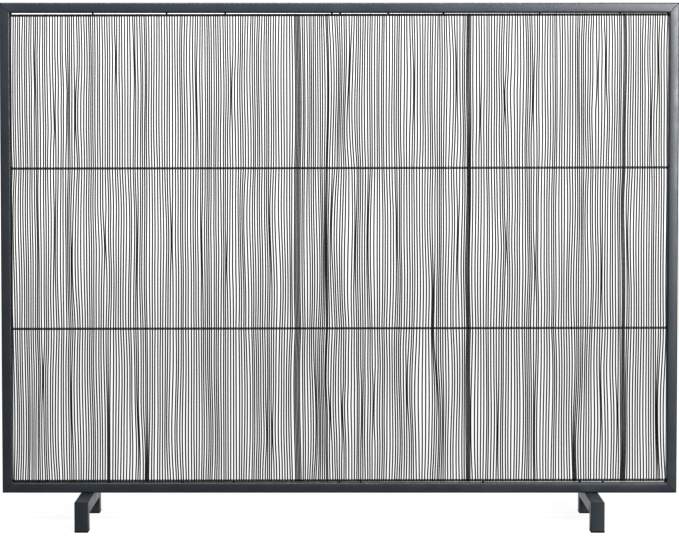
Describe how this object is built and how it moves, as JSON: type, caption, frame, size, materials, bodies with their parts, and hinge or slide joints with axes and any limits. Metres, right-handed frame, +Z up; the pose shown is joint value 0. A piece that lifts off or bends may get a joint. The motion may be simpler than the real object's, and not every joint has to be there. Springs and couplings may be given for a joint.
{
  "type": "fireplace screen",
  "caption": "Free-standing flat fireplace screen: a mitred square-tube frame filled with close vertical steel wires on round rods, standing on two inverted-U feet.",
  "frame": {"origin": "on the floor, below the middle of the screen", "axes": "+X along the screen's width, +Y from the room side towards the fire, +Z up"},
  "size_m": [1.016, 0.1704, 0.782],
  "materials": {
    "painted_tube": "satin charcoal powder coat",
    "painted_rod": "satin charcoal powder coat",
    "painted_wire": "satin charcoal powder coat, thin over drawn wire",
    "plastic_glide": "moulded black plastic",
    "zinc_steel": "zinc plated"
  },
  "bodies": {
    "root": {"bottom_tack_welds": "painted_tube", "foot_bolts": "zinc_steel", "foot_rivet_nuts": "zinc_steel", "foot_washers": "zinc_steel", "frame_bottom_tube": "painted_tube", "frame_left_tube": "painted_tube", "frame_right_tube": "painted_tube", "frame_top_tube": "painted_tube", "left_foot_beam": "painted_tube", "left_foot_front_glide": "plastic_glide", "left_foot_front_leg": "painted_tube", "left_foot_rear_glide": "plastic_glide", "left_foot_rear_leg": "painted_tube", "right_foot_beam": "painted_tube", "right_foot_front_glide": "plastic_glide", "right_foot_front_leg": "painted_tube", "right_foot_rear_glide": "plastic_glide", "right_foot_rear_leg": "painted_tube", "rod_bottom": "painted_rod", "rod_lower": "painted_rod", "rod_top": "painted_rod", "rod_upper": "painted_rod", "screen_wires_01": "painted_wire", "screen_wires_02": "painted_wire", "screen_wires_03": "painted_wire", "screen_wires_04": "painted_wire", "screen_wires_05": "painted_wire", "screen_wires_06": "painted_wire", "screen_wires_07": "painted_wire", "screen_wires_08": "painted_wire", "screen_wires_09": "painted_wire", "screen_wires_10": "painted_wire", "screen_wires_11": "painted_wire", "screen_wires_12": "painted_wire", "screen_wires_13": "painted_wire", "screen_wires_14": "painted_wire", "screen_wires_15": "painted_wire", "screen_wires_16": "painted_wire", "screen_wires_17": "painted_wire", "screen_wires_18": "painted_wire", "screen_wires_19": "painted_wire", "screen_wires_20": "painted_wire", "screen_wires_21": "painted_wire", "screen_wires_22": "painted_wire", "screen_wires_23": "painted_wire", "screen_wires_24": "painted_wire", "top_tack_welds": "painted_tube"}
  },
  "joints": []
}
